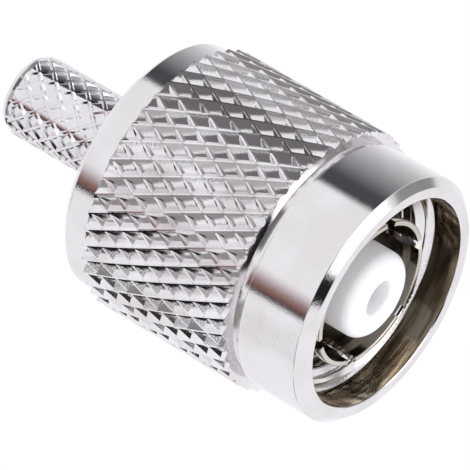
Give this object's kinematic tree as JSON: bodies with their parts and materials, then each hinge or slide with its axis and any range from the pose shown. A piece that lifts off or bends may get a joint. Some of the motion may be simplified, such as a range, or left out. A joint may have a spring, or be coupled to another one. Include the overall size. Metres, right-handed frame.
{
  "type": "coaxial connector",
  "caption": "Straight crimp coaxial plug: knurled coupling nut over a slotted contact sleeve, white insulator and knurled crimp ferrule.",
  "frame": {"origin": "centre of the coupling nut's front face, on which the connector stands", "axes": "+Z along the connector's axis from the mouth to the cable end; +X and +Y across it"},
  "size_m": [0.015, 0.015, 0.0241],
  "materials": {
    "nut_plating": "bright nickel plate on brass",
    "body_plating": "bright nickel plate on brass",
    "contact_plating": "bright nickel plate on spring brass",
    "insulator_white": "matte white fluoropolymer",
    "contact_gold": "gold plate on brass",
    "gasket_red": "matte silicone rubber",
    "spring_bronze": "plain spring bronze",
    "ferrule_plating": "bright nickel plate on copper alloy"
  },
  "bodies": {
    "connector": {"connector_body": "body_plating", "outer_contact": "contact_plating", "front_insulator": "insulator_white", "rear_insulator": "insulator_white", "centre_contact": "contact_gold", "sealing_gasket": "gasket_red", "retaining_ring": "spring_bronze"},
    "nut": {"coupling_nut": "nut_plating"},
    "ferrule": {"crimp_ferrule": "ferrule_plating"}
  },
  "joints": [
    {"name": "nut_turn", "type": "hinge", "parent": "connector", "child": "nut", "pos_m": [0, 0, 0.0079], "axis": [0, 0, 1], "continuous": true},
    {"name": "ferrule_slide", "type": "slide", "parent": "connector", "child": "ferrule", "axis": [0, 0, 1], "range_m": [0, 0.0085]}
  ]
}
